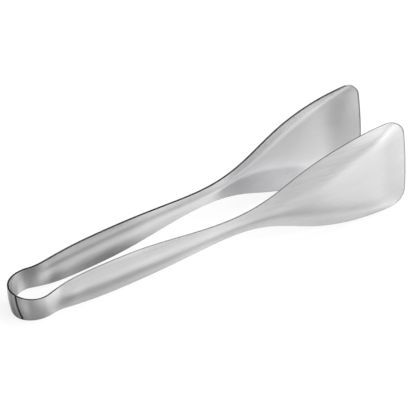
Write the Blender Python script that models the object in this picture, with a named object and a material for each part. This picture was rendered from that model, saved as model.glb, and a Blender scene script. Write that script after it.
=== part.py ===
"""Bread tongs: two mirror-image stampings of sheet steel that meet in one springy bow.

The shape is laid out level, with +X from the bow's crown to the blade tips, +Y towards the left arm
and +Z across the sheet. A tilt then sets the tongs down on edge, on the bow and on both blades.
"""

import math

import bpy
import numpy as np

# Overall sizes, in metres and degrees.
LENGTH = 0.2350
JAW_OPENING = 0.0429
SHEET = 0.0010
PIECE_GAP = 0.0003

# Bow: a round band that is widest at its crown, then draws in to the waist between the arms.
BOW_RADIUS = 0.0130
WAIST_NIP = 0.00195
NIP_RADIUS = 0.0430
CROWN_BAND_WIDTH = 0.0160
SIDE_BAND_WIDTH = 0.0135
BAND_CROWN = 0.0004

# Join between the two stampings, measured along the band from the crown towards the right arm.
JOIN_AT_TOP = 0.0048
JOIN_AT_BOTTOM = 0.0074
JOIN_CURVE = 1.5

# Handle and neck: a channel that bulges outwards.
HANDLE_WIDTH = 0.0203
HANDLE_DEPTH = 0.0028
NECK_WIDTH = 0.0112

# Blade: a flat panel that fans out from the neck, between two flanges that turn inwards.
BLADE_LENGTH = 0.1130
BLADE_WIDTH = 0.0593
FLANGE_ANGLE = 24.0
TIP_SAG = 0.00145
TIP_CORNER_RADIUS = 0.0103

# Depth trued off the lowest edges, so that the tongs stand on small flats.
REST_FLAT = 0.0001

# Half widths of the band, as shares of the way from the side's to the crown's.
BAND_PLACE_SHARES = (0.0, 0.5, 1.0)
BAND_WIDTH_SHARES = (1.0, 0.5, 0.0)

# Arm's half gap as a share of its rise, at shares of the way from the waist to the tip.
RISE_PLACE_SHARES = (0.0, 0.076, 0.202, 0.366, 0.531, 0.666, 0.802, 0.927, 1.0)
RISE_SHARES = (0.0, 0.05, 0.138, 0.345, 0.49, 0.665, 0.89, 0.955, 1.0)

# Shoulder, between the bow's side and the waist, where the band starts to swell into the handle.
SHOULDER_PLACE_SHARE = 0.5
SHOULDER_SWELL_SHARE = 0.13
SHOULDER_CHANNEL_SHARE = 0.20

# Handle's swell, at shares of the way from the waist to the neck, with how far its channel is formed
# and how soft the channel's ridge is. The widest station has a swell of 1.
HANDLE_PLACE_SHARES = (0.0, 0.072, 0.168, 0.296, 0.445, 0.616, 0.808, 1.0)
HANDLE_SWELL_SHARES = (0.50, 0.75, 0.93, 1.0, 0.945, 0.70, 0.28, 0.0)
CHANNEL_SHARES = (0.86, 0.86, 0.86, 0.93, 1.0, 0.75, 0.50, 0.26)
RIDGE_SOFTNESS_SHARES = (1.0, 1.0, 1.0, 1.0, 1.0, 0.90, 0.70, 0.50)

# Blade's flare, at shares of the way from the neck to the tip, with the creases' height and softness
# as shares of the half width, and the flanges' slope as a share of its value at mid-blade.
BLADE_PLACE_SHARES = (0.142, 0.265, 0.389, 0.513, 0.637, 0.752, 0.867, 1.0)
BLADE_FLARE_SHARES = (0.046, 0.208, 0.466, 0.705, 0.86, 0.956, 0.995, 1.0)
CREASE_SHARES = (0.07, 0.17, 0.29, 0.43, 0.565, 0.70, 0.835, 0.96)
SOFTNESS_SHARES = (0.27, 0.19, 0.19, 0.19, 0.155, 0.145, 0.13, 0.15)
FLANGE_SHARES = (0.72, 0.93, 1.0, 1.0, 1.0, 1.20, 1.42, 0.48)

# Step along the edge line over which its direction is read, as a share of the sheet.
NORMAL_STEP_SHARE = 0.01

# Faces of the mesh.
ARM_STEPS = 42
ARM_STRIPS = 14
BOW_STEPS = 20
BOW_STRIPS = 8
REST_SAMPLES = 2000

STEEL_COLOUR = (0.62, 0.62, 0.63, 1.0)
STEEL_ROUGHNESS = 0.32
SHARP_ANGLE = 30.0


def smooth_curve(places, values, start_slope=None):
    """A function for the cubic spline through the values, straight at its ends or clamped at its start."""
    places = np.asarray(places, float)
    values = np.asarray(values, float)
    gaps = np.diff(places)
    slopes = np.diff(values) / gaps
    system = np.eye(len(places))
    turns = np.zeros(len(places))
    for i in range(1, len(places) - 1):
        system[i, i - 1 : i + 2] = (gaps[i - 1], 2 * (gaps[i - 1] + gaps[i]), gaps[i])
        turns[i] = 6 * (slopes[i] - slopes[i - 1])
    if start_slope is not None:
        system[0, :2] = (2 * gaps[0], gaps[0])
        turns[0] = 6 * (slopes[0] - start_slope)
    bends = np.linalg.solve(system, turns)

    def value(at):
        at = np.asarray(at, float)
        i = np.clip(np.searchsorted(places, at) - 1, 0, len(gaps) - 1)
        before = at - places[i]
        after = places[i + 1] - at
        cubic = (bends[i] * after**3 + bends[i + 1] * before**3) / (6 * gaps[i])
        left = (values[i] / gaps[i] - bends[i] * gaps[i] / 6) * after
        right = (values[i + 1] / gaps[i] - bends[i + 1] * gaps[i] / 6) * before
        return cubic + left + right

    return value


# Plan of one stamping: the bow's arc, a reverse arc down to the waist, then the arm.
WAIST_HALF_GAP = BOW_RADIUS - WAIST_NIP
WAIST_X = BOW_RADIUS + math.sqrt(WAIST_NIP * (BOW_RADIUS + 2 * NIP_RADIUS + WAIST_HALF_GAP))
NIP_TURN = math.asin((WAIST_X - BOW_RADIUS) / (BOW_RADIUS + NIP_RADIUS))
BOW_ARC = BOW_RADIUS * (math.pi / 2 + NIP_TURN)
BOW_SIDE = BOW_RADIUS * math.pi / 2
WAIST = BOW_ARC + NIP_RADIUS * NIP_TURN
TIP = WAIST + LENGTH - WAIST_X
NECK = TIP - BLADE_LENGTH


def along(start, end, shares):
    """Places at the given shares of the way from start to end."""
    return [start + (end - start) * share for share in shares]


def arm_half_gap():
    """The arm's half gap as a function of its distance past the waist."""
    rise = JAW_OPENING / 2 - WAIST_HALF_GAP
    places = along(0, TIP - WAIST, RISE_PLACE_SHARES)
    return smooth_curve(places, along(WAIST_HALF_GAP, WAIST_HALF_GAP + rise, RISE_SHARES), 0)


def channel_slope(depth, width):
    """Flange slope that bulges a band to this depth, where one soft crease runs along its middle."""
    return depth / ((math.sqrt(2) - 1) * width / 2)


def section_stations():
    """Places along the sheet, with the half width, crease, softness and flange slope at each."""
    handle_slope = channel_slope(HANDLE_DEPTH, HANDLE_WIDTH)
    band_slope = channel_slope(BAND_CROWN, SIDE_BAND_WIDTH)
    rows = []
    for place, share in zip(BAND_PLACE_SHARES, BAND_WIDTH_SHARES):
        width = SIDE_BAND_WIDTH + (CROWN_BAND_WIDTH - SIDE_BAND_WIDTH) * share
        rows.append((BOW_SIDE * place, width / 2, 0, 1, band_slope))
    places = along(BOW_SIDE, WAIST, [SHOULDER_PLACE_SHARE]) + along(WAIST, NECK, HANDLE_PLACE_SHARES)
    swells = (SHOULDER_SWELL_SHARE, *HANDLE_SWELL_SHARES)
    channels = (SHOULDER_CHANNEL_SHARE, *CHANNEL_SHARES)
    softnesses = (1, *RIDGE_SOFTNESS_SHARES)
    widest = swells.index(1.0)
    for i, place in enumerate(places):
        thinnest = SIDE_BAND_WIDTH if i < widest else NECK_WIDTH
        width = thinnest + (HANDLE_WIDTH - thinnest) * swells[i]
        slope = band_slope + (handle_slope - band_slope) * channels[i]
        rows.append((place, width / 2, 0, softnesses[i], slope))
    for i, place in enumerate(BLADE_PLACE_SHARES):
        width = NECK_WIDTH + (BLADE_WIDTH - NECK_WIDTH) * BLADE_FLARE_SHARES[i]
        slope = math.tan(math.radians(FLANGE_ANGLE)) * FLANGE_SHARES[i]
        place = NECK + (TIP - NECK) * place
        rows.append((place, width / 2, CREASE_SHARES[i], SOFTNESS_SHARES[i], slope))
    return np.array(rows).T


STATIONS = section_stations()
HALF_GAP = arm_half_gap()
HALF_WIDTH = smooth_curve(STATIONS[0], STATIONS[1], 0)
CREASE = smooth_curve(STATIONS[0], STATIONS[2])
SOFTNESS = smooth_curve(STATIONS[0], STATIONS[3])
FLANGE_SLOPE = smooth_curve(STATIONS[0], STATIONS[4])


def plan(place):
    """X and Y of the left stamping's edge line, at distances along it from the bow's crown."""
    turn = place / BOW_RADIUS
    bow = (BOW_RADIUS * (1 - np.cos(turn)), BOW_RADIUS * np.sin(turn))
    back = (WAIST - place) / NIP_RADIUS
    nip_x = WAIST_X - NIP_RADIUS * np.sin(back)
    nip = (nip_x, WAIST_HALF_GAP + NIP_RADIUS * (1 - np.cos(back)))
    arm = (WAIST_X + place - WAIST, HALF_GAP(np.maximum(place - WAIST, 0)))
    on_bow = place <= BOW_ARC
    on_nip = place <= WAIST
    return np.array([np.where(on_bow, b, np.where(on_nip, n, a)) for b, n, a in zip(bow, nip, arm)])


def outward(place):
    """Unit normal of the plan, pointing out of the tongs, by a small step along the edge line."""
    step = SHEET * NORMAL_STEP_SHARE
    x, y = plan(place + step) - plan(place - step)
    return np.array([-y, x]) / np.hypot(x, y)


def ramp(distance, softness):
    """Distance past a crease, eased over the softness instead of turning sharply."""
    return (distance + np.hypot(distance, softness)) / 2


def depth(place, height):
    """How far the sheet bulges outwards from its edge line, at a height from its centre line."""
    half_width = HALF_WIDTH(place)
    crease = CREASE(place) * half_width
    softness = SOFTNESS(place) * half_width
    edge = ramp(half_width - crease, softness) + ramp(-half_width - crease, softness)
    here = ramp(height - crease, softness) + ramp(-height - crease, softness)
    return FLANGE_SLOPE(place) * (edge - here)


def lowest_corner(place):
    """Depth of the cut edge's lower corner below the centre line, where the flange turns under."""
    half_width = HALF_WIDTH(place)
    near = 1 - CREASE(place)
    far = 1 + CREASE(place)
    softness = SOFTNESS(place)
    easing = (near / np.hypot(near, softness) + far / np.hypot(far, softness)) / 2
    return half_width + SHEET / 2 * np.sin(np.arctan(FLANGE_SLOPE(place) * easing))


def sheet_point(place, share):
    """Points of the sheet's middle surface. A negative place lies on the right stamping's side."""
    side = np.where(place < 0, -1, 1)
    place = np.abs(place)
    height = share * HALF_WIDTH(place)
    bulge = depth(place, height)
    flat = plan(place) + outward(place) * bulge
    return np.stack([flat[0], flat[1] * side, height], axis=-1)


def tip_place(share):
    """Where the blade ends at each share of its half width: a sagging end with two round corners."""
    half_width = float(HALF_WIDTH(TIP))
    past_corner = np.maximum(np.abs(share) * half_width - (half_width - TIP_CORNER_RADIUS), 0)
    drop = TIP_CORNER_RADIUS - np.sqrt(np.maximum(TIP_CORNER_RADIUS**2 - past_corner**2, 0))
    return TIP - TIP_SAG * share**2 - drop


def join_place(share):
    """Where the join crosses the band, which is on the right stamping's side."""
    below = (1 - share) / 2
    return -(JOIN_AT_TOP + (JOIN_AT_BOTTOM - JOIN_AT_TOP) * below**JOIN_CURVE)


def grid(start, end, steps, shares):
    """Middle-surface points in steps from the start places to the end places, one for each share."""
    way = np.linspace(0, 1, steps + 1)[:, None]
    place = start * (1 - way) + end * way
    return sheet_point(place, np.broadcast_to(shares, place.shape))


def edge_dense_shares(strips):
    """Shares of the half width that crowd towards both edges, where the corners are round."""
    return np.sin(np.linspace(-math.pi / 2, math.pi / 2, strips + 1))


def arm_points():
    """The left arm, from the bow's side to the tip."""
    shares = edge_dense_shares(ARM_STRIPS)
    start = np.full_like(shares, BOW_SIDE + PIECE_GAP / 2)
    return grid(start, tip_place(shares), ARM_STEPS, shares)


def bow_half_points(side):
    """One half of the bow, from the join to where its arm starts, on the side of 1 or -1."""
    shares = np.linspace(-1, 1, BOW_STRIPS + 1)
    start = join_place(shares) + side * PIECE_GAP / 2
    end = np.full_like(shares, side * (BOW_SIDE - PIECE_GAP / 2))
    return grid(start, end, BOW_STEPS, shares)


def resting_pose():
    """Tilt of the level shape, and its shift, that set it down on the bow and on both blades."""
    place = np.linspace(WAIST, TIP - TIP_CORNER_RADIUS, REST_SAMPLES)
    crown_drop = lowest_corner(0)
    rise = (lowest_corner(place) - crown_drop) / (plan(place)[0] + SHEET / 2)
    tilt = math.atan(rise.max())
    crown_x = -(SHEET / 2 * math.cos(tilt) + CROWN_BAND_WIDTH / 2 * math.sin(tilt))
    tip = arm_points()[-1]
    tip_x = np.max(tip[:, 0] * math.cos(tilt) - tip[:, 2] * math.sin(tilt))
    lift = crown_drop * math.cos(tilt) - SHEET / 2 * math.sin(tilt)
    return tilt, (-(crown_x + tip_x) / 2, 0, lift - REST_FLAT)


def clear_scene():
    for obj in list(bpy.data.objects):
        bpy.data.objects.remove(obj, do_unlink=True)


def steel(name):
    """Satin stainless steel for one piece."""
    material = bpy.data.materials.new(name + "_steel")
    material.use_nodes = True
    shader = material.node_tree.nodes["Principled BSDF"]
    shader.inputs["Base Color"].default_value = STEEL_COLOUR
    shader.inputs["Metallic"].default_value = 1
    shader.inputs["Roughness"].default_value = STEEL_ROUGHNESS
    material.diffuse_color = STEEL_COLOUR
    return material


def empty(name, parent, place):
    """A named frame that other pieces hang on."""
    frame = bpy.data.objects.new(name, None)
    bpy.context.scene.collection.objects.link(frame)
    frame.parent = parent
    frame.location = place
    return frame


def ground_block():
    """A block below the ground plane, which trues the lowest edges flat."""
    mesh = bpy.data.meshes.new("ground")
    block = bpy.data.objects.new("ground", mesh)
    bpy.context.scene.collection.objects.link(block)
    corners = [(x, y, z) for x in (-LENGTH, LENGTH) for y in (-LENGTH, LENGTH) for z in (-LENGTH, 0)]
    sides = [(0, 1, 3, 2), (4, 6, 7, 5), (0, 4, 5, 1), (2, 3, 7, 6), (0, 2, 6, 4), (1, 5, 7, 3)]
    mesh.from_pydata(corners, [], sides)
    block.hide_render = True
    block.display_type = "WIRE"
    return block


def sheet_piece(name, points, parent, ground):
    """A piece of sheet with the given middle surface, its origin on its parent's frame."""
    rows, columns = points.shape[:2]
    corner = np.arange(rows * columns).reshape(rows, columns)
    quads = np.stack([corner[:-1, :-1], corner[1:, :-1], corner[1:, 1:], corner[:-1, 1:]], axis=-1)
    mesh = bpy.data.meshes.new(name)
    mesh.from_pydata(points.reshape(-1, 3).tolist(), [], quads.reshape(-1, 4).tolist())
    piece = bpy.data.objects.new(name, mesh)
    bpy.context.scene.collection.objects.link(piece)
    piece.parent = parent
    mesh.materials.append(steel(name))
    wall = piece.modifiers.new("wall", "SOLIDIFY")
    wall.thickness = SHEET
    wall.offset = 0
    wall.use_even_offset = True
    flats = piece.modifiers.new("resting_flats", "BOOLEAN")
    flats.operation = "DIFFERENCE"
    flats.object = ground
    mesh.shade_smooth()
    mesh.set_sharp_from_angle(angle=math.radians(SHARP_ANGLE))
    return piece


def main():
    clear_scene()
    ground = ground_block()
    tilt, place = resting_pose()
    stand = empty("stand", None, place)
    stand.rotation_euler = (0, -tilt, 0)
    bow = empty("bow_frame", stand, (0, 0, 0))
    for side, name in ((1, "left"), (-1, "right")):
        hinge_point = np.array([BOW_RADIUS, side * BOW_RADIUS, 0])
        hinge = empty(name + "_hinge", stand, hinge_point)
        arm = arm_points() * (1, side, 1) - hinge_point
        sheet_piece(name + "_arm", arm, hinge, ground)
        sheet_piece(name + "_bow_half", bow_half_points(side), bow, ground)


main()
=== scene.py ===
"""Looks of the bread tongs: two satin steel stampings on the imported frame.

The shape is laid out level, with +X from the bow's crown to the blade tips, +Y towards the left arm
and +Z across the sheet. A tilt then sets the tongs down on edge, on the bow and on both blades.
"""

from __future__ import annotations

import logging
import math
from dataclasses import dataclass
from enum import Enum
from functools import cached_property
from typing import NamedTuple

import bpy
import numpy as np
from mathutils import Matrix

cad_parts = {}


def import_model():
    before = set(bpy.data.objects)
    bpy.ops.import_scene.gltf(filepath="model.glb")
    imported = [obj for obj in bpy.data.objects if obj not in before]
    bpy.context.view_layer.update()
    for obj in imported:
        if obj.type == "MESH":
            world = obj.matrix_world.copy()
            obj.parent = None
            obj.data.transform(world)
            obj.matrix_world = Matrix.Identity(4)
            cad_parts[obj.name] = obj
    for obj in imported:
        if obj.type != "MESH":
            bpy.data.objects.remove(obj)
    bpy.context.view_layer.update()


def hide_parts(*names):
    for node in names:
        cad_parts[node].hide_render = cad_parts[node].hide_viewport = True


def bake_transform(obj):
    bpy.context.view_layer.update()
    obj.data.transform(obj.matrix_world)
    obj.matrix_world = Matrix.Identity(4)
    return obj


LOG = logging.getLogger("tongs")

Array = np.ndarray
Triple = tuple[float, float, float]
Shares = tuple[float, ...]


class Side(Enum):
    """The two stampings, with the sign of Y on which each arm lies."""

    LEFT = 1
    RIGHT = -1

    @property
    def word(self) -> str:
        """The side's name in small letters."""
        return self.name.lower()


class Rays(Enum):
    """Kinds of ray that a studio surface can tell apart."""

    CAMERA = "Is Camera Ray"
    GLOSSY = "Is Glossy Ray"


# Shape of the tongs


class Spline:
    """Cubic spline through values at places, straight at its ends or clamped at its start."""

    def __init__(
        self, places: list[float], values: list[float], start_slope: float | None = None
    ) -> None:
        """Solves for the bend (the second derivative) at each place.

        The slopes of neighbouring cubics agree at each inner place: gap before * bend before
        + 2 * both gaps * bend + gap after * bend after = 6 * the change of the chords' slope.

        Args:
            places: Rising distances.
            values: The value at each place.
            start_slope: Slope at the first place, or None for a straight start.
        """
        self.places = np.asarray(places, float)
        self.values = np.asarray(values, float)
        self.gaps = np.diff(self.places)
        slopes = np.diff(self.values) / self.gaps
        count = len(self.places)
        inner = np.arange(1, count - 1)
        system = np.eye(count)
        turns = np.zeros(count)
        system[inner, inner - 1] = self.gaps[:-1]
        system[inner, inner] = 2 * (self.gaps[:-1] + self.gaps[1:])
        system[inner, inner + 1] = self.gaps[1:]
        turns[inner] = 6 * np.diff(slopes)
        if start_slope is not None:
            system[0, :2] = (2 * self.gaps[0], self.gaps[0])
            turns[0] = 6 * (slopes[0] - start_slope)
        self.bends = np.linalg.solve(system, turns)

    def __call__(self, at: Array | float) -> Array:
        """The spline's value, run on as its end cubic outside its places.

        Each cubic has the values and the bends of the two places that it joins.

        Args:
            at: Distances along the spline.

        Returns:
            The values there.
        """
        at = np.asarray(at, float)
        i = np.clip(np.searchsorted(self.places, at) - 1, 0, len(self.gaps) - 1)
        gap = self.gaps[i]
        before = at - self.places[i]
        after = self.places[i + 1] - at
        cubic = (self.bends[i] * after**3 + self.bends[i + 1] * before**3) / (6 * gap)
        left = (self.values[i] / gap - self.bends[i] * gap / 6) * after
        right = (self.values[i + 1] / gap - self.bends[i + 1] * gap / 6) * before
        return cubic + left + right


def along(start: float, end: float, shares: Shares) -> list[float]:
    """Values at the given shares of the way from start to end."""
    return [start + (end - start) * share for share in shares]


def ramp(distance: Array, softness: Array | float) -> Array:
    """Distance past a crease, eased over the softness: (d + sqrt(d^2 + s^2)) / 2."""
    return (distance + np.hypot(distance, softness)) / 2


def unit(vectors: Array) -> Array:
    """The vectors scaled to a length of 1."""
    return vectors / np.linalg.norm(vectors, axis=-1, keepdims=True)


class Station(NamedTuple):
    """The sheet's cross-section at one distance from the bow's crown.

    Two soft creases run along the sheet, and its flanges slope away outside them. The crease's
    height and its softness are shares of the half width.
    """

    place: float
    half_width: float
    crease: float
    softness: float
    flange_slope: float


@dataclass(frozen=True)
class TongsShape:
    """Sizes of the tongs, in metres and degrees, and the surfaces worked out from them."""

    length: float = 0.2350
    jaw_opening: float = 0.0429
    sheet: float = 0.0010
    piece_gap: float = 0.0003
    rest_flat: float = 0.0001

    # The round bow, and the waist that is nipped in behind it.
    bow_radius: float = 0.0130
    waist_nip: float = 0.00195
    nip_radius: float = 0.0430
    crown_band_width: float = 0.0160
    side_band_width: float = 0.0135
    band_crown: float = 0.0004

    # The join's distance past the crown at the band's edges, and the power of its curve down.
    join_at_top: float = 0.0048
    join_at_bottom: float = 0.0074
    join_curve: float = 1.5

    # The channel-shaped handle, and the neck where it ends.
    handle_width: float = 0.0203
    handle_depth: float = 0.0028
    neck_width: float = 0.0112

    # The blade, whose flange angle is the one at mid-blade.
    blade_length: float = 0.1130
    blade_width: float = 0.0593
    flange_angle: float = 24.0
    tip_sag: float = 0.00145
    tip_corner_radius: float = 0.0103

    # The one crease along the bow and the handle: its height and softness, in half widths.
    middle_share: float = 0.0
    full_softness_share: float = 1.0

    # The bow: shares of the way from the crown to its side, and of the band's extra width.
    band_place_shares: Shares = (0.0, 0.5, 1.0)
    band_width_shares: Shares = (1.0, 0.5, 0.0)

    # The arm's spread: shares of the way from the waist to the tip, and of the spread.
    rise_place_shares: Shares = (0.0, 0.076, 0.202, 0.366, 0.531, 0.666, 0.802, 0.927, 1.0)
    rise_shares: Shares = (0.0, 0.05, 0.138, 0.345, 0.49, 0.665, 0.89, 0.955, 1.0)

    # The shoulder: one section between the bow's side and the waist.
    shoulder_place_share: float = 0.5
    shoulder_swell_share: float = 0.13
    shoulder_channel_share: float = 0.20

    # The handle: shares of the way from the waist to the neck, of its swell, of its channel's
    # slope, and its softness.
    handle_place_shares: Shares = (0.0, 0.072, 0.168, 0.296, 0.445, 0.616, 0.808, 1.0)
    handle_swell_shares: Shares = (0.50, 0.75, 0.93, 1.0, 0.945, 0.70, 0.28, 0.0)
    channel_shares: Shares = (0.86, 0.86, 0.86, 0.93, 1.0, 0.75, 0.50, 0.26)
    ridge_softness_shares: Shares = (1.0, 1.0, 1.0, 1.0, 1.0, 0.90, 0.70, 0.50)

    # The blade: shares of the way from the neck to the tip, of its flare, the crease's height and
    # softness, and the flanges' slope as a share of its value at mid-blade.
    blade_place_shares: Shares = (0.142, 0.265, 0.389, 0.513, 0.637, 0.752, 0.867, 1.0)
    blade_flare_shares: Shares = (0.046, 0.208, 0.466, 0.705, 0.86, 0.956, 0.995, 1.0)
    crease_shares: Shares = (0.07, 0.17, 0.29, 0.43, 0.565, 0.70, 0.835, 0.96)
    softness_shares: Shares = (0.27, 0.19, 0.19, 0.19, 0.155, 0.145, 0.13, 0.15)
    flange_shares: Shares = (0.72, 0.93, 1.0, 1.0, 1.0, 1.20, 1.42, 0.48)

    # The step for slopes, as a share of the sheet, and the places tried for the rests.
    step_share: float = 0.01
    rest_samples: int = 2000

    @cached_property
    def step(self) -> float:
        """The small distance over which slopes are taken."""
        return self.sheet * self.step_share

    @cached_property
    def waist_half_gap(self) -> float:
        """Half the gap between the edge lines at the waist."""
        return self.bow_radius - self.waist_nip

    @cached_property
    def waist_x(self) -> float:
        """X of the waist, where the reverse arc runs parallel to the other arm."""
        reach = self.bow_radius + 2 * self.nip_radius + self.waist_half_gap
        return self.bow_radius + math.sqrt(self.waist_nip * reach)

    @cached_property
    def nip_turn(self) -> float:
        """Angle of the reverse arc between the bow and the waist."""
        return math.asin((self.waist_x - self.bow_radius) / (self.bow_radius + self.nip_radius))

    @cached_property
    def bow_arc(self) -> float:
        """Distance along the edge line from the crown to the end of the bow's arc."""
        return self.bow_radius * (math.pi / 2 + self.nip_turn)

    @cached_property
    def bow_side(self) -> float:
        """Distance from the crown to the bow's side, where the arm's hinge lies."""
        return self.bow_radius * math.pi / 2

    @cached_property
    def waist(self) -> float:
        """Distance from the crown to the waist."""
        return self.bow_arc + self.nip_radius * self.nip_turn

    @cached_property
    def tip(self) -> float:
        """Distance from the crown to the blade's tip."""
        return self.waist + self.length - self.waist_x

    @cached_property
    def neck(self) -> float:
        """Distance from the crown to the neck."""
        return self.tip - self.blade_length

    @cached_property
    def half_gap(self) -> Spline:
        """The arm's half gap by its distance past the waist.

        Returns:
            The spline, which starts parallel to the other arm.
        """
        places = along(0.0, self.tip - self.waist, self.rise_place_shares)
        gaps = along(self.waist_half_gap, self.jaw_opening / 2, self.rise_shares)
        return Spline(places, gaps, 0.0)

    @staticmethod
    def channel_slope(depth: float, width: float) -> float:
        """Flange slope of a channel with one soft crease: depth / ((sqrt(2) - 1) * half width)."""
        return depth / ((math.sqrt(2) - 1) * width / 2)

    @cached_property
    def band_slope(self) -> float:
        """Flange slope of the bow's crowned band."""
        return self.channel_slope(self.band_crown, self.side_band_width)

    @cached_property
    def handle_slope(self) -> float:
        """Flange slope of the handle where it is deepest."""
        return self.channel_slope(self.handle_depth, self.handle_width)

    def bow_stations(self) -> list[Station]:
        """Sections of the bow's band, which narrows from the crown to the side.

        Returns:
            The sections in order.
        """
        places = along(0.0, self.bow_side, self.band_place_shares)
        widths = along(self.side_band_width, self.crown_band_width, self.band_width_shares)
        return [
            Station(place, width / 2, self.middle_share, self.full_softness_share, self.band_slope)
            for place, width in zip(places, widths)
        ]

    def handle_stations(self) -> list[Station]:
        """Sections of the shoulder and the handle, which swells and thins again to the neck.

        Returns:
            The sections in order.
        """
        places = along(self.bow_side, self.waist, (self.shoulder_place_share,))
        places += along(self.waist, self.neck, self.handle_place_shares)
        swells = (self.shoulder_swell_share, *self.handle_swell_shares)
        channels = (self.shoulder_channel_share, *self.channel_shares)
        slopes = along(self.band_slope, self.handle_slope, channels)
        softnesses = (self.full_softness_share, *self.ridge_softness_shares)
        widest = swells.index(max(swells))
        stations = []
        for i, place in enumerate(places):
            thinnest = self.side_band_width if i < widest else self.neck_width
            width = thinnest + (self.handle_width - thinnest) * swells[i]
            row = (place, width / 2, self.middle_share, softnesses[i], slopes[i])
            stations.append(Station(*row))
        return stations

    def blade_stations(self) -> list[Station]:
        """Sections of the blade, a panel that fans out between its two flanges.

        Returns:
            The sections in order.
        """
        places = along(self.neck, self.tip, self.blade_place_shares)
        widths = along(self.neck_width, self.blade_width, self.blade_flare_shares)
        mid_slope = math.tan(math.radians(self.flange_angle))
        slopes = [mid_slope * share for share in self.flange_shares]
        half_widths = [width / 2 for width in widths]
        rows = zip(places, half_widths, self.crease_shares, self.softness_shares, slopes)
        return [Station(*row) for row in rows]

    @cached_property
    def stations(self) -> list[Station]:
        """All sections from the crown to the tip."""
        return [*self.bow_stations(), *self.handle_stations(), *self.blade_stations()]

    def profile(self, values: list[float], start_slope: float | None = None) -> Spline:
        """The stations' values by distance from the crown."""
        return Spline([station.place for station in self.stations], values, start_slope)

    @cached_property
    def half_width(self) -> Spline:
        """Half the sheet's width by distance from the crown."""
        return self.profile([station.half_width for station in self.stations], 0.0)

    @cached_property
    def crease(self) -> Spline:
        """The crease's height, as a share of the half width."""
        return self.profile([station.crease for station in self.stations])

    @cached_property
    def softness(self) -> Spline:
        """The crease's softness, as a share of the half width."""
        return self.profile([station.softness for station in self.stations])

    @cached_property
    def flange_slope(self) -> Spline:
        """Slope of the sheet outside the creases."""
        return self.profile([station.flange_slope for station in self.stations])

    def plan(self, place: Array) -> Array:
        """X and Y of the left stamping's edge line: the bow's arc, a reverse arc, then the arm.

        Args:
            place: Distances from the bow's crown.

        Returns:
            An array of X and one of Y, stacked.
        """
        turn = place / self.bow_radius
        bow = (self.bow_radius * (1 - np.cos(turn)), self.bow_radius * np.sin(turn))
        back = (self.waist - place) / self.nip_radius
        nip_y = self.waist_half_gap + self.nip_radius * (1 - np.cos(back))
        nip = (self.waist_x - self.nip_radius * np.sin(back), nip_y)
        past_waist = place - self.waist
        arm = (self.waist_x + place - self.waist, self.half_gap(np.maximum(past_waist, 0)))
        on_bow = place <= self.bow_arc
        on_nip = place <= self.waist
        parts = zip(bow, nip, arm)
        return np.array([np.where(on_bow, b, np.where(on_nip, n, a)) for b, n, a in parts])

    def outward(self, place: Array) -> Array:
        """Unit normal of the plan, out of the tongs: a small step along it, turned 90 degrees."""
        x, y = self.plan(place + self.step) - self.plan(place - self.step)
        return np.array([-y, x]) / np.hypot(x, y)

    def section(self, place: Array) -> tuple[Array, Array, Array]:
        """Half width, crease height and softness, in metres, by distance from the crown."""
        half_width = self.half_width(place)
        return half_width, self.crease(place) * half_width, self.softness(place) * half_width

    def fold(self, place: Array, height: Array) -> Array:
        """How far a height is past the creases: ramp(height - crease) + ramp(-height - crease)."""
        _, crease, softness = self.section(place)
        return ramp(height - crease, softness) + ramp(-height - crease, softness)

    def depth(self, place: Array, height: Array) -> Array:
        """How far the sheet bulges out: slope * (fold at the edge - fold at the height)."""
        edge = self.fold(place, self.half_width(place))
        return self.flange_slope(place) * (edge - self.fold(place, height))

    def point(self, place: Array, height: Array) -> Array:
        """Points of the sheet's middle surface: the plan's edge line, moved outwards by the depth.

        Args:
            place: Distances from the crown. A negative one lies past it, on the other side.
            height: Heights from the sheet's centre line.

        Returns:
            Points in the level layout, the last axis being X, Y and Z.
        """
        side = np.where(place < 0, -1, 1)
        place = np.abs(place)
        flat = self.plan(place) + self.outward(place) * self.depth(place, height)
        return np.stack([flat[0], flat[1] * side, height], axis=-1)

    def normal(self, place: Array, height: Array) -> Array:
        """Unit normals of the middle surface: a small step across it times one along it.

        Args:
            place: Distances from the crown.
            height: Heights from the sheet's centre line.

        Returns:
            Vectors out of the tongs, the last axis being X, Y and Z.
        """
        run = self.point(place + self.step, height) - self.point(place - self.step, height)
        climb = self.point(place, height + self.step) - self.point(place, height - self.step)
        return unit(np.cross(climb, run))

    def tip_place(self, share: Array, inset: float = 0.0) -> Array:
        """Where the blade ends: the tip, less a sag of the share squared, less two round corners.

        Args:
            share: Shares of the half width.
            inset: Distance by which the outline is drawn in.

        Returns:
            Distances from the crown.
        """
        half_width = float(self.half_width(self.tip))
        radius = self.tip_corner_radius - inset
        straight = half_width - self.tip_corner_radius
        past = np.maximum(np.abs(share) * (half_width - inset) - straight, 0)
        drop = radius - np.sqrt(np.maximum(radius**2 - past**2, 0))
        return self.tip - self.tip_sag * share**2 - drop - inset

    def join_place(self, share: Array) -> Array:
        """Where the join crosses the band, past the crown on the right stamping's side."""
        lean = (self.join_at_bottom - self.join_at_top) * ((1 - share) / 2) ** self.join_curve
        return -(self.join_at_top + lean)

    def lowest_corner(self, place: Array) -> Array:
        """Depth of the cut edge's lower corner below the centre line, where the flange turns under.

        The sheet's slope at its edge is the flange slope times the mean of both creases' turns. A
        crease's turn is the distance past it / hypot(that distance, softness).

        Args:
            place: Distances from the crown.

        Returns:
            The half width, plus half the sheet times the sine of the slope's angle.
        """
        half_width, crease, softness = self.section(place)
        near = (half_width - crease) / np.hypot(half_width - crease, softness)
        far = (half_width + crease) / np.hypot(half_width + crease, softness)
        slope = self.flange_slope(place) * (near + far) / 2
        return half_width + self.sheet / 2 * np.sin(np.arctan(slope))

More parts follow.
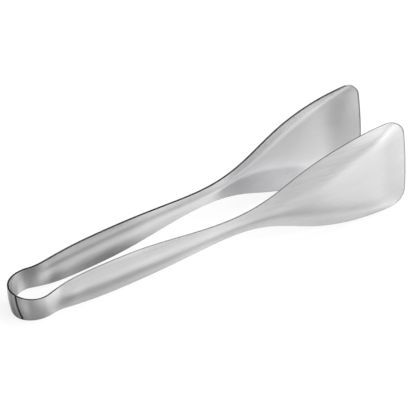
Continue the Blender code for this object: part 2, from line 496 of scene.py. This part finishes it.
    @cached_property
    def resting_pose(self) -> tuple[float, Array]:
        """How the level layout is set down on the bow and on both blades.

        The tilt is the steepest line from the crown's lowest corner to one of the blade's. The
        shift centres the tongs along X and sinks them by the flats that they rest on.

        Returns:
            The tilt in radians, and the shift.
        """
        place = np.linspace(self.waist, self.tip - self.tip_corner_radius, self.rest_samples)
        crown_drop = float(self.lowest_corner(np.array(0.0)))
        reach = self.plan(place)[0] + self.sheet / 2
        tilt = math.atan(((self.lowest_corner(place) - crown_drop) / reach).max())
        c, s = math.cos(tilt), math.sin(tilt)
        crown_x = -(self.sheet / 2 * c + self.crown_band_width / 2 * s)
        share = np.sin(np.linspace(-math.pi / 2, math.pi / 2, self.rest_samples))
        end = self.tip_place(share)
        tip = self.point(end, share * self.half_width(end))
        tip_x = np.max(tip[:, 0] * c - tip[:, 2] * s)
        lift = crown_drop * c - self.sheet / 2 * s
        return tilt, np.array([-(crown_x + tip_x) / 2, 0, lift - self.rest_flat])

    @cached_property
    def stand(self) -> Array:
        """Rotation matrix of the tilt, which lifts the blade tips."""
        c, s = math.cos(self.resting_pose[0]), math.sin(self.resting_pose[0])
        return np.array([[c, 0, -s], [0, 1, 0], [s, 0, c]])

    def stood(self, points: Array) -> Array:
        """Moves points to where they are in the frame, none of them below the floor.

        Args:
            points: Points of the level layout.

        Returns:
            The points, tilted and shifted.
        """
        placed = points @ self.stand.T + self.resting_pose[1]
        placed[..., 2] = np.maximum(placed[..., 2], 0)
        return placed


# Shader maths


class Wire:
    """A node's output socket that can be used in sums."""

    def __init__(self, graph: Graph, socket: bpy.types.NodeSocket) -> None:
        """Keeps the graph that new nodes go to, and the socket."""
        self.graph = graph
        self.socket = socket

    def _math(self, operation: str, *values: Wire | float) -> Wire:
        """A Math node on the values."""
        return self.graph.node("ShaderNodeMath", {"operation": operation}, dict(enumerate(values)))

    def __add__(self, other: Wire | float) -> Wire:
        """Sum."""
        return self._math("ADD", self, other)

    __radd__ = __add__

    def __sub__(self, other: Wire | float) -> Wire:
        """Difference."""
        return self._math("SUBTRACT", self, other)

    def __rsub__(self, other: Wire | float) -> Wire:
        """Difference, the other way round."""
        return self._math("SUBTRACT", other, self)

    def __mul__(self, other: Wire | float) -> Wire:
        """Product."""
        return self._math("MULTIPLY", self, other)

    __rmul__ = __mul__

    def dot(self, vector: Triple) -> Wire:
        """Dot product of a vector wire with a vector."""
        settings = {"operation": "DOT_PRODUCT"}
        return self.graph.node("ShaderNodeVectorMath", settings, {0: self, 1: vector}, "Value")

    def eased(self, low: float, high: float, to_low: float = 0.0, to_high: float = 1.0) -> Wire:
        """The value mapped from low..high to to_low..to_high, smoothly and clamped.

        Args:
            low: Value that maps to to_low.
            high: Value that maps to to_high.
            to_low: Result at and below low.
            to_high: Result at and above high.

        Returns:
            The mapped value.
        """
        settings = {"interpolation_type": "SMOOTHSTEP", "clamp": True}
        span = {"From Min": low, "From Max": high, "To Min": to_low, "To Max": to_high}
        return self.graph.node("ShaderNodeMapRange", settings, {"Value": self, **span})


class Graph:
    """Node tree of a material or of the world, filled by calls."""

    # Strength of each finer layer of a noise, as a share of the one before.
    LAYER_SHARE = 0.55

    # Numbers of a mix's sockets for colours: the factor, both colours and the result.
    FACTOR, FIRST, SECOND, MIXED = 0, 6, 7, 2

    def __init__(self, tree: bpy.types.NodeTree) -> None:
        """Empties the tree."""
        self.tree = tree
        tree.nodes.clear()

    def node(
        self,
        kind: str,
        settings: dict[str, object] | None = None,
        sockets: dict[str | int, object] | None = None,
        output: str | int = 0,
    ) -> Wire:
        """A new node.

        Args:
            kind: The node's type.
            settings: Its own settings, which are set first.
            sockets: Values or wires of its inputs, by name or number.
            output: The output to return.

        Returns:
            The wire of that output.
        """
        made = self.tree.nodes.new(kind)
        for name, value in (settings or {}).items():
            setattr(made, name, value)
        for name, value in (sockets or {}).items():
            if isinstance(value, Wire):
                self.tree.links.new(value.socket, made.inputs[name])
            else:
                made.inputs[name].default_value = value
        return Wire(self, made.outputs[output])

    def blend(self, factor: Wire | float, first: object, second: object) -> Wire:
        """A mix of two colours, all the first at a factor of 0 and all the second at 1."""
        sockets = {self.FACTOR: factor, self.FIRST: first, self.SECOND: second}
        return self.node("ShaderNodeMix", {"data_type": "RGBA"}, sockets, self.MIXED)

    def noise(self, place: Wire, scales: Triple, detail: float = 2.0) -> Wire:
        """Noise from 0 to 1 whose grain is stretched by a scale for each axis.

        Args:
            place: The pattern's coordinates, in metres.
            scales: Grains per metre along X, Y and Z.
            detail: Number of finer layers.

        Returns:
            The noise.
        """
        settings = {"operation": "MULTIPLY"}
        vector = self.node("ShaderNodeVectorMath", settings, {0: place, 1: scales})
        layers = {"Detail": detail, "Roughness": self.LAYER_SHARE}
        sockets = {"Vector": vector, "Scale": 1.0, **layers}
        return self.node("ShaderNodeTexNoise", {"noise_dimensions": "3D"}, sockets)

    def surface(self, output_kind: str, shader: Wire) -> None:
        """Links the shader to the surface of a new output node."""
        made = self.tree.nodes.new(output_kind)
        self.tree.links.new(shader.socket, made.inputs["Surface"])


def new_material(name: str) -> tuple[bpy.types.Material, Graph]:
    """Makes a material that has no nodes yet.

    Args:
        name: The material's name.

    Returns:
        The material and its graph.
    """
    material = bpy.data.materials.new(name)
    material.use_nodes = True
    return material, Graph(material.node_tree)


def gray(level: float, tint: Triple = (1.0, 1.0, 1.0)) -> tuple[float, ...]:
    """An opaque colour of a brightness, with a slight tint."""
    return (*(level * part for part in tint), 1.0)


# Finishes


@dataclass(frozen=True)
class SatinSteel:
    """Stainless sheet, brushed along the tongs to a soft sheen."""

    name: str = "satin_steel"
    bright: float = 0.68
    dull: float = 0.585
    tint: Triple = (0.990, 0.989, 1.0)
    roughness: float = 0.26
    roughness_spread: float = 0.05

    # Grains per metre of the three patterns, along the sheet and across it.
    hairline: Triple = (60.0, 5200.0, 1.0)
    streak: Triple = (14.0, 900.0, 1.0)
    cloud: Triple = (70.0, 90.0, 1.0)
    cloud_detail: float = 3.0

    # What each pattern adds to the colour, and the sums at which it is all dull or all bright.
    hairline_share: float = 0.5
    streak_share: float = 0.3
    cloud_share: float = 0.2
    all_dull: float = 0.3
    all_bright: float = 0.7

    # What the patterns add to the roughness, round their middle.
    rough_cloud_share: float = 0.6
    rough_streak_share: float = 0.4
    pattern_middle: float = 0.5

    # Height of the hairlines in metres, how strongly it shows, and the streaks' share of it.
    relief: float = 0.000004
    relief_strength: float = 0.16
    relief_streak_share: float = 0.5

    # Weld scale: its brightness, and how far from the join it stays full and ends.
    weld_dark: float = 0.10
    weld_core: float = 0.00015
    weld_reach: float = 0.00075

    def material(self) -> bpy.types.Material:
        """The finish as a material.

        Fine hairlines and broader streaks run along the sheet, with soft clouds over them. All
        three vary the colour, clouds and streaks the roughness, and hairlines and streaks raise the
        surface by a few micrometres. A dark line of weld scale lies along the join and fades out.

        Returns:
            The material, which reads the piece's UV map and its distance from the join.
        """
        material, graph = new_material(self.name)
        place = graph.node("ShaderNodeUVMap", {"uv_map": Stamping.BRUSH_MAP})
        hairline = graph.noise(place, self.hairline)
        streak = graph.noise(place, self.streak)
        cloud = graph.noise(place, self.cloud, self.cloud_detail)

        lines = hairline * self.hairline_share + streak * self.streak_share
        brightness = (lines + cloud * self.cloud_share).eased(self.all_dull, self.all_bright)
        dull, bright = gray(self.dull, self.tint), gray(self.bright, self.tint)
        colour = graph.blend(brightness, dull, bright)
        join_map = {"attribute_name": Stamping.JOIN_MAP}
        from_join = graph.node("ShaderNodeAttribute", join_map, output="Fac")
        scale = from_join.eased(self.weld_core, self.weld_reach, 1.0, 0.0)
        colour = graph.blend(scale, colour, gray(self.weld_dark))

        patches = cloud * self.rough_cloud_share + streak * self.rough_streak_share
        spread = (patches - self.pattern_middle) * self.roughness_spread
        ridges = hairline + streak * self.relief_streak_share
        relief = {"Strength": self.relief_strength, "Distance": self.relief, "Height": ridges}
        sockets = {
            "Base Color": colour,
            "Metallic": 1.0,
            "Roughness": spread + self.roughness,
            "Normal": graph.node("ShaderNodeBump", None, relief),
        }
        shader = graph.node("ShaderNodeBsdfPrincipled", None, sockets)
        graph.surface("ShaderNodeOutputMaterial", shader)
        return material


@dataclass(frozen=True)
class CutEdge:
    """The sheared edge: its own duller tone deepened by painted shade, and a painted highlight
    round the tip.
    """

    # Distance from the crown to the tip, and how far before it the painted highlight starts and is
    # full.
    tip: float
    highlight_reach: float = 0.016
    highlight_core: float = 0.002

    name: str = "cut_edge"
    # Brightness of the painted highlight at the tip, and of the edge, whose darkness is partly
    # painted shade.
    tip_highlight: float = 0.74
    bright: float = 0.16
    dull: float = 0.09
    roughness: float = 0.18
    roughness_spread: float = 0.08

    # Nicks: grains per metre, and the values at which the edge is all dull or all bright.
    nicks: Triple = (700.0, 1800.0, 1.0)
    all_dull: float = 0.35
    all_bright: float = 0.65

    def material(self) -> bpy.types.Material:
        """The finish as a material.

        Small darker nicks lie along the edge. Its dark colour is partly painted shade, the dark
        reflection along the edges, and the blade's end carries a painted highlight.

        Returns:
            The material, which reads the piece's UV map.
        """
        material, graph = new_material(self.name)
        place = graph.node("ShaderNodeUVMap", {"uv_map": Stamping.BRUSH_MAP})
        nicks = graph.noise(place, self.nicks)
        brightness = nicks.eased(self.all_dull, self.all_bright)
        # Dark base colour: partly the edge's own dull tone, partly painted shade of its dark
        # reflection.
        colour = graph.blend(brightness, gray(self.dull), gray(self.bright))
        from_crown = graph.node("ShaderNodeSeparateXYZ", None, {0: place}, "X")
        at_tip = from_crown.eased(self.tip - self.highlight_reach, self.tip - self.highlight_core)
        # Painted highlight: the edge turns bright towards the blade's end.
        colour = graph.blend(at_tip, colour, gray(self.tip_highlight))
        roughness = nicks * self.roughness_spread + self.roughness
        sockets = {"Base Color": colour, "Metallic": 1.0, "Roughness": roughness}
        shader = graph.node("ShaderNodeBsdfPrincipled", None, sockets)
        graph.surface("ShaderNodeOutputMaterial", shader)
        return material


# Stampings


@dataclass
class Stamping:
    """One half of the tongs: a single sheet from the join in the bow to the blade's tip.

    Its points come in order: the outer face, the inner face, then the rim ring by ring.
    """

    BRUSH_MAP = "brush"
    JOIN_MAP = "from_join"

    shape: TongsShape
    side: Side
    face_finish: bpy.types.Material
    edge_finish: bpy.types.Material

    # Radius of the cut edge's rounding, and the steps of each of its quarter circles.
    edge_round: float = 0.00010
    round_steps: int = 3

    # Rows along the bow and along the arm, columns across, and how much they crowd to the edges.
    bow_rows: int = 70
    arm_rows: int = 230
    columns: int = 64
    edge_density: float = 0.9

    # Two places along the level layout's X, from the bow to the arm; hang works out their points
    # but nothing uses them.
    blend_start: float = 0.002
    blend_end: float = 0.030

    @property
    def name(self) -> str:
        """The piece's name."""
        return f"{self.side.word}_stamping"

    @cached_property
    def shares(self) -> Array:
        """Shares of the half width, crowded towards the edges for the tip's round corners."""
        even = np.linspace(-1, 1, self.columns + 1)
        return (1 - self.edge_density) * even + self.edge_density * np.sin(even * math.pi / 2)

    @cached_property
    def ways(self) -> Array:
        """Shares of the way from the join to the tip, closer together round the bow.

        Returns:
            Rising shares from 0 to 1.
        """
        bow_share = 2 * self.shape.bow_arc / (self.shape.tip + self.shape.bow_arc)
        bow = np.linspace(0, bow_share / 2, self.bow_rows, endpoint=False)
        return np.concatenate([bow, np.linspace(bow_share / 2, 1, self.arm_rows + 1)])

    def outline(self, inset: float) -> tuple[Array, Array]:
        """Grids of place and height that fill the sheet's outline, drawn in by an inset.

        The place runs evenly from the join to the tip at each share of the half width. The height
        is the share times (half width - inset).

        Args:
            inset: Distance by which the outline is drawn in.

        Returns:
            The places and the heights, with a row for each way and a column for each share.
        """
        shape = self.shape
        start = shape.join_place(self.shares) + self.side.value * shape.piece_gap / 2
        start = start * self.side.value + inset
        end = shape.tip_place(self.shares, inset)
        place = start + (end - start) * self.ways[:, None]
        return place, self.shares * (shape.half_width(np.abs(place)) - inset)

    @cached_property
    def grid(self) -> tuple[Array, Array]:
        """Places and heights of either face, which ends where the edge's rounding starts."""
        return self.outline(self.edge_round)

    @cached_property
    def corner(self) -> Array:
        """Grid of the outer face's point numbers."""
        place, _ = self.grid
        return np.arange(place.size).reshape(place.shape)

    @cached_property
    def rim_profile(self) -> Array:
        """Cross-section of the cut edge, as distances out of the sheet and through it.

        A quarter circle of the edge's radius from the outer face, a flat, and a quarter circle to
        the inner face. The first and last points lie on the faces and are left out.

        Returns:
            Two numbers for each ring of the rim.
        """
        turn = np.linspace(0, math.pi / 2, self.round_steps + 1)[1:]
        out = self.edge_round * np.sin(turn)
        through = self.shape.sheet / 2 - self.edge_round * (1 - np.cos(turn))
        upper = np.stack([out, through], axis=-1)
        return np.concatenate([upper, upper[::-1] * (1, -1)])

    @staticmethod
    def around(grid: Array) -> Array:
        """The grid's border as one closed loop: join, upper edge, tip and lower edge."""
        return np.concatenate([grid[0, :-1], grid[:-1, -1], grid[-1, :0:-1], grid[:0:-1, 0]])

    def points(self) -> Array:
        """Points of the two faces and the rim.

        The faces are the middle surface moved by half the sheet along its normals. The rim is the
        middle surface's border, moved out of the sheet and through it by the edge's profile.

        Returns:
            Points in the level layout, the last axis being X, Y and Z.
        """
        middle = self.shape.point(*self.grid)
        normal = self.shape.normal(*self.grid)
        half = normal * self.shape.sheet / 2
        away = self.around(self.shape.point(*self.outline(0.0)) - middle)
        across = self.around(normal)
        away = unit(away - across * np.sum(away * across, axis=-1, keepdims=True))
        border = self.around(middle)
        rim = [border + away * out + across * through for out, through in self.rim_profile]
        faces = [(middle + half).reshape(-1, 3), (middle - half).reshape(-1, 3)]
        return np.concatenate([*faces, *rim]) * (1, self.side.value, 1)

    def face_quads(self) -> Array:
        """Quads of the outer face, and of the inner one, which is turned over.

        Returns:
            Four point numbers for each quad.
        """
        corner = self.corner
        sides = [corner[:-1, :-1], corner[1:, :-1], corner[1:, 1:], corner[:-1, 1:]]
        outer = np.stack(sides, axis=-1).reshape(-1, 4)
        return np.concatenate([outer, outer[:, ::-1] + corner.size])

    @staticmethod
    def ring_quads(first: Array, second: Array) -> Array:
        """Quads between two closed rings of point numbers."""
        return np.stack([first, second, np.roll(second, -1), np.roll(first, -1)], axis=-1)

    def rim_quads(self) -> Array:
        """Quads of the rim, ring by ring from the outer face's border to the inner one's.

        Returns:
            Four point numbers for each quad.
        """
        border = self.around(self.corner)
        start = 2 * self.corner.size + np.arange(len(border))
        own = [start + len(border) * i for i in range(len(self.rim_profile))]
        rings = [border, *own, border + self.corner.size]
        return np.concatenate([self.ring_quads(a, b) for a, b in zip(rings[:-1], rings[1:])])

    def brush_places(self) -> Array:
        """Each point's place in the finish's patterns: distance along the sheet, and height.

        The inner face and the rim lie one and two blade widths up the patterns, so that none
        repeats another's. The rim's rings share the sheet's thickness evenly.

        Returns:
            Two coordinates for each point, in metres.
        """
        outer = np.stack(self.grid, axis=-1)
        border = self.around(outer)
        outer = outer.reshape(-1, 2)
        rings = len(self.rim_profile)
        step = self.shape.sheet / (rings + 1)
        shift = self.shape.blade_width
        rim = [border + (0, 2 * shift + step * i) for i in range(rings)]
        return np.concatenate([outer, outer + (0, shift), *rim])

    def join_distances(self) -> Array:
        """Each point's distance from the join, along the sheet.

        Returns:
            One number for each point, in metres.
        """
        place, _ = self.grid
        distance = place - place[:1]
        rim = [self.around(distance)] * len(self.rim_profile)
        return np.concatenate([distance.ravel(), distance.ravel(), *rim])

    def build(self) -> bpy.types.Object:
        """Makes the stamping, dresses it, and hides the frame's pieces that it replaces.

        Returns:
            The finished object.
        """
        faces = self.face_quads()
        quads = np.concatenate([faces, self.rim_quads()])
        if self.side is Side.LEFT:
            quads = quads[:, ::-1]
        made = mesh_object(self.name, self.shape.stood(self.points()), quads)
        made.data.materials.append(self.face_finish)
        made.data.materials.append(self.edge_finish)
        is_rim = np.arange(len(quads)) >= len(faces)
        made.data.polygons.foreach_set("material_index", is_rim.astype(np.int32))
        join_map = made.data.attributes.new(self.JOIN_MAP, "FLOAT", "POINT")
        join_map.data.foreach_set("value", self.join_distances().astype(np.float32))
        brush_map = made.data.uv_layers.new(name=self.BRUSH_MAP)
        places = self.brush_places()[quads.ravel()]
        brush_map.data.foreach_set("uv", places.astype(np.float32).ravel())
        self.hang(made)
        return made

    def hang(self, made: bpy.types.Object) -> None:
        """Bakes the stamping's placement, and hides the frame's bow half and arm, which it
        replaces.

        Args:
            made: The stamping's object.
        """
        places = (self.blend_start, self.blend_end)
        start, end = (tuple(self.shape.stood(np.array([x, 0.0, 0.0]))) for x in places)
        word = self.side.word
        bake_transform(made)
        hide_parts(f"{word}_bow_half", f"{word}_arm")


def mesh_object(name: str, points: Array, quads: Array) -> bpy.types.Object:
    """A smooth-shaded object at the origin.

    Args:
        name: The object's name.
        points: Its points in the frame, in metres.
        quads: Four point numbers for each face.

    Returns:
        The object, linked to the scene.
    """
    mesh = bpy.data.meshes.new(name)
    mesh.vertices.add(len(points))
    mesh.vertices.foreach_set("co", points.astype(np.float32).ravel())
    mesh.loops.add(quads.size)
    mesh.loops.foreach_set("vertex_index", quads.astype(np.int32).ravel())
    mesh.polygons.add(len(quads))
    mesh.polygons.foreach_set("loop_start", np.arange(0, quads.size, 4, dtype=np.int32))
    mesh.update(calc_edges=True)
    mesh.validate()
    mesh.shade_smooth()
    made = bpy.data.objects.new(name, mesh)
    bpy.context.scene.collection.objects.link(made)
    return made


# Studio


def direction(azimuth: float, elevation: float) -> Triple:
    """Unit vector at two angles in degrees. Azimuth 0 is towards -Y and 90 towards +X."""
    a, e = math.radians(azimuth), math.radians(elevation)
    return (math.sin(a) * math.cos(e), -math.cos(a) * math.cos(e), math.sin(e))


@dataclass(frozen=True)
class Glow:
    """One soft patch of light in the studio's surroundings, with its angles in degrees.

    Its light is the strength at its centre and 0 from its spread outwards. In between it is a
    smooth step of the cosine of the angle from the centre.
    """

    azimuth: float
    elevation: float
    spread: float
    strength: float

    def light(self, towards: Wire) -> Wire:
        """The patch's light by the direction looked in."""
        closeness = towards.dot(direction(self.azimuth, self.elevation))
        return closeness.eased(math.cos(math.radians(self.spread)), 1.0, 0.0, self.strength)


@dataclass(frozen=True)
class Shade:
    """A soft painted shadow on the table, a grey patch which the steel mirrors."""

    start_x: float
    end_x: float
    half_width: float
    softness: float
    strength: float

    def over(self, x: Wire, y: Wire) -> Wire:
        """How strongly the patch lies over a point of the table.

        It is a smooth step up at its start and down at its end, along X, times the same across Y.

        Args:
            x: The point's X.
            y: The point's Y.

        Returns:
            The patch's strength there.
        """
        s, w = self.softness, self.half_width
        started = x.eased(self.start_x - s, self.start_x + s)
        ended = x.eased(self.end_x - s, self.end_x + s)
        across_y = y.eased(-w - s, s - w) - y.eased(w - s, w + s)
        return (started - ended) * across_y * self.strength


@dataclass
class Studio:
    """A white table in a light tent, and the camera."""

    # The table: its width, how white it is, how clear it is, and how much shadow the camera sees.
    floor_size: float = 4.0
    paper_white: float = 0.85
    clear_share: float = 0.5
    shadow_share: float = 0.2

    # The camera: angles in degrees, distances in metres, lens and sensor in millimetres.
    azimuth: float = -31.588
    elevation: float = 36.372
    roll: float = 0.987
    distance: float = 1.15983
    target: Triple = (0.003460, 0.001815, 0.024082)
    lens: float = 184.62
    sensor: float = 36.0
    nearest: float = 0.05
    farthest: float = 20.0

    # Painted shadows on the table, as grey patches: behind the bow, under the handles and beyond
    # the tips.
    shades: tuple[Shade, ...] = (
        Shade(-0.300, -0.125, 0.035, 0.015, 0.22),
        Shade(-0.300, -0.020, 0.035, 0.015, 0.32),
        Shade(0.125, 0.300, 0.035, 0.015, 0.39),
    )

    # What lights the table.
    table_level: float = 0.70
    table_glows: tuple[Glow, ...] = (Glow(68.0, 28.0, 65.0, 3.7),)

    # What the steel mirrors: the tent, and the glow that comes up through the table.
    tent_glows: tuple[Glow, ...] = (
        Glow(0.0, 72.0, 45.0, 0.80),
        Glow(-60.0, 8.0, 28.0, 0.80),
        Glow(-115.0, 10.0, 30.0, 0.80),
        Glow(-165.0, 4.0, 30.0, 0.90),
        Glow(175.0, -28.0, 32.0, 0.80),
        Glow(-22.5, 30.0, 32.0, 0.40),
        Glow(22.5, 30.0, 32.0, 0.73),
        Glow(112.5, 30.0, 32.0, 1.10),
        Glow(-5.0, 10.0, 26.0, 0.63),
        Glow(15.0, 10.0, 26.0, 0.23),
        Glow(35.0, 10.0, 26.0, 0.75),
        Glow(145.0, 10.0, 26.0, 1.15),
        Glow(170.0, 10.0, 26.0, 1.21),
        Glow(50.0, -8.0, 24.0, 1.03),
        Glow(5.0, -22.0, 24.0, 0.41),
        Glow(22.0, -22.0, 24.0, 0.16),
        Glow(38.0, -22.0, 24.0, 1.12),
        Glow(-120.0, -36.0, 24.0, 0.42),
        Glow(-70.0, -36.0, 24.0, 0.70),
        Glow(70.0, -36.0, 24.0, 0.31),
        Glow(50.0, -50.0, 24.0, 0.35),
        Glow(80.0, -50.0, 24.0, 0.69),
        Glow(90.0, -66.0, 24.0, 0.49),
        Glow(0.0, -85.0, 24.0, 0.75),
    )

    def floor(self) -> bpy.types.Object:
        """A wide white table, half clear like a sheet of opal glass, which keeps the shadow.

        The camera sees a mix of the lit paper and plain white. The steel sees the paper with its
        painted shadows, and through it the glow below.

        Returns:
            The floor.
        """
        half = self.floor_size / 2
        points = np.array([(-half, -half, 0), (half, -half, 0), (half, half, 0), (-half, half, 0)])
        made = mesh_object("studio_floor", points, np.array([[0, 1, 2, 3]]))
        material, graph = new_material("white_table")
        place = graph.node("ShaderNodeTexCoord", output="Object")
        x, y = (graph.node("ShaderNodeSeparateXYZ", None, {0: place}, axis) for axis in "XY")
        # Painted shadows darken the paper that the steel mirrors.
        shade = sum(patch.over(x, y) for patch in self.shades)
        colour = graph.blend(shade, gray(self.paper_white), gray(0.0))
        paper = graph.node("ShaderNodeBsdfDiffuse", None, {"Color": gray(self.paper_white)})
        shaded = graph.node("ShaderNodeBsdfDiffuse", None, {"Color": colour})
        white = graph.node("ShaderNodeEmission", None, {"Color": gray(1.0), "Strength": 1.0})
        clear = graph.node("ShaderNodeBsdfTransparent", None, {"Color": gray(1.0)})
        seen = graph.node("ShaderNodeLightPath", output=Rays.CAMERA.value)
        kind = "ShaderNodeMixShader"
        looked_at = graph.node(kind, None, {0: self.shadow_share, 1: white, 2: paper})
        mirrored = graph.node(kind, None, {0: self.clear_share, 1: shaded, 2: clear})
        shader = graph.node(kind, None, {0: seen, 1: mirrored, 2: looked_at})
        graph.surface("ShaderNodeOutputMaterial", shader)
        made.data.materials.append(material)
        return made

    def surroundings(self) -> bpy.types.World:
        """The light tent: what the steel mirrors, soft light on the table, and white behind.

        A ray that the steel mirrors gets the sum of the tent's patches, and one from the camera
        gets 1. Any other gets an even level plus the table's patches.

        Returns:
            The world.
        """
        world = bpy.data.worlds.new("light_tent")
        bpy.context.scene.world = world
        world.use_nodes = True
        graph = Graph(world.node_tree)
        mirrored = graph.node("ShaderNodeLightPath", output=Rays.GLOSSY.value)
        seen = graph.node("ShaderNodeLightPath", output=Rays.CAMERA.value)
        towards = graph.node("ShaderNodeTexCoord", output="Generated")
        tent = sum(glow.light(towards) for glow in self.tent_glows)
        table = sum((glow.light(towards) for glow in self.table_glows), self.table_level)
        strength = mirrored * tent + seen + (1 - mirrored - seen) * table
        sockets = {"Color": gray(1.0), "Strength": strength}
        graph.surface("ShaderNodeOutputWorld", graph.node("ShaderNodeBackground", None, sockets))
        return world

    def camera(self) -> bpy.types.Object:
        """The camera at the photograph's viewpoint, turned about its own axis by its roll.

        Returns:
            The camera.
        """
        azimuth, roll = math.radians(self.azimuth), math.radians(self.roll)
        back = np.array(direction(self.azimuth, self.elevation))
        level_right = np.array([math.cos(azimuth), math.sin(azimuth), 0.0])
        level_up = np.cross(back, level_right)
        right = math.cos(roll) * level_right + math.sin(roll) * level_up
        pose = np.eye(4)
        pose[:3, 0], pose[:3, 1], pose[:3, 2] = right, np.cross(back, right), back
        pose[:3, 3] = np.array(self.target) + back * self.distance
        data = bpy.data.cameras.new("camera")
        data.lens = self.lens
        data.sensor_width = self.sensor
        data.clip_start = self.nearest
        data.clip_end = self.farthest
        made = bpy.data.objects.new("camera", data)
        bpy.context.scene.collection.objects.link(made)
        made.matrix_world = Matrix(pose)
        bpy.context.scene.camera = made
        return made


def clean_colours() -> None:
    """Shows colours plainly, with no film look."""
    bpy.context.scene.view_settings.view_transform = "Standard"


def main() -> None:
    """Builds the tongs on the frame, then the studio."""
    logging.basicConfig(level=logging.INFO, format="%(name)s: %(message)s")
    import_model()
    clean_colours()
    shape = TongsShape()
    face_finish = SatinSteel().material()
    edge_finish = CutEdge(shape.tip).material()
    for side in Side:
        made = Stamping(shape, side, face_finish, edge_finish).build()
        LOG.info("%s: %d faces", made.name, len(made.data.polygons))
    studio = Studio()
    for made in (studio.camera(), studio.floor(), studio.surroundings()):
        LOG.info("studio: %s", made.name)


if __name__ == "__main__":
    main()
